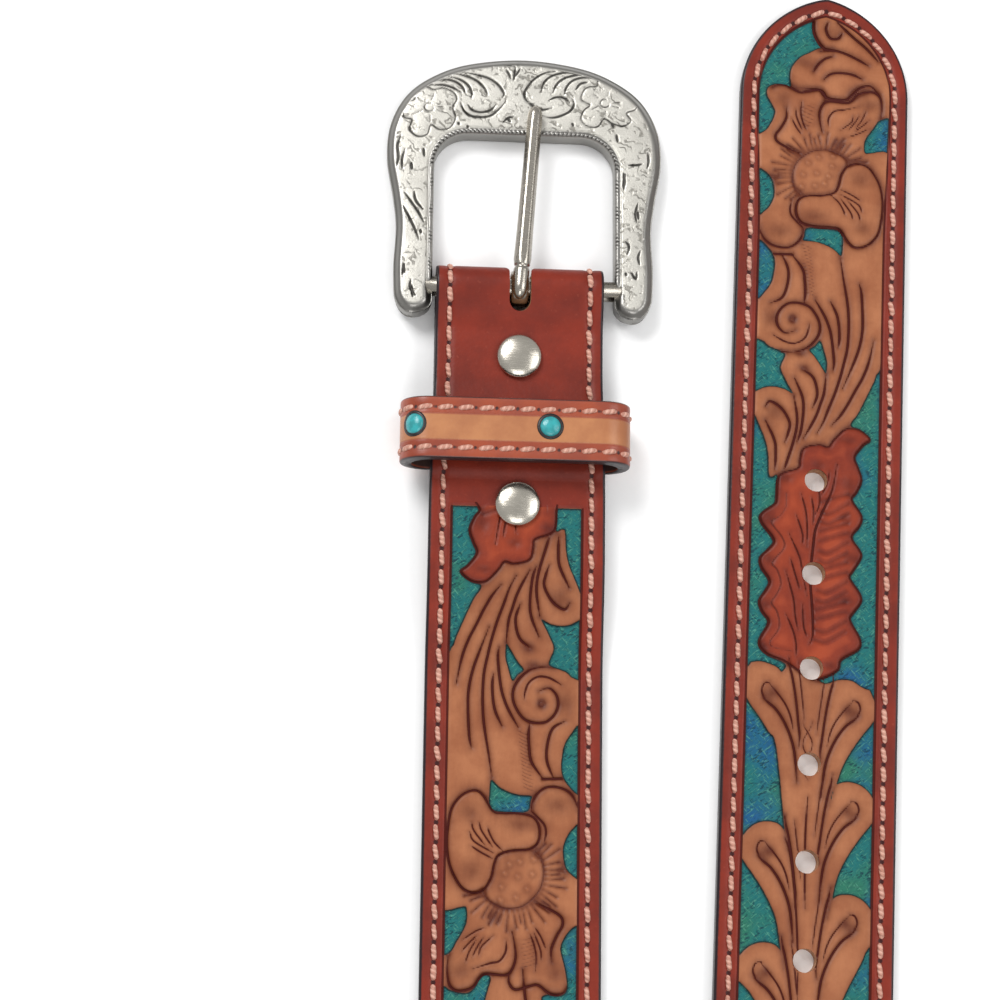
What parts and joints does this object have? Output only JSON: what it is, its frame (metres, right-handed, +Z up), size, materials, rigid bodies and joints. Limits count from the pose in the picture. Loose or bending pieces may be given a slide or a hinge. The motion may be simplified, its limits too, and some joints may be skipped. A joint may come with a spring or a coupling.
{
  "type": "western tooled belt",
  "caption": "Tooled leather belt, unbuckled, face up, with engraved buckle frame, prong, leather keeper, two snaps and prong holes; its middle turns in a loop on edge.",
  "frame": {"origin": "middle of the base of the bounding box, on the surface that the belt lies on", "axes": "+Z up, +Y along the strap towards the buckle and the tip, +X to the right, from the buckle run to the tip run"},
  "size_m": [0.1218, 0.5534, 0.0396],
  "materials": {
    "tooled_leather": "vegetable-tanned leather, red-brown border with tan, rust and turquoise tooling, satin",
    "keeper_leather": "tan leather with an orange-brown border, satin",
    "snap_metal": "nickel plated, lightly scuffed",
    "frame_metal": "engraved nickel silver, antiqued in the cuts",
    "prong_metal": "polished nickel"
  },
  "bodies": {
    "strap": {"strap": "tooled_leather", "keeper": "keeper_leather", "snap_upper": "snap_metal", "snap_lower": "snap_metal"},
    "buckle_frame": {"buckle_frame": "frame_metal"},
    "prong": {"prong": "prong_metal"}
  },
  "joints": [
    {"name": "frame_swing", "type": "hinge", "parent": "strap", "child": "buckle_frame", "pos_m": [-0.02925, 0.20279, 0.0048], "axis": [1, 0, 0], "range_deg": [-60, 40]},
    {"name": "prong_swing", "type": "hinge", "parent": "buckle_frame", "child": "prong", "pos_m": [-0.03015, 0.20279, 0.0048], "axis": [1, 0, 0], "range_deg": [0, 55]}
  ]
}
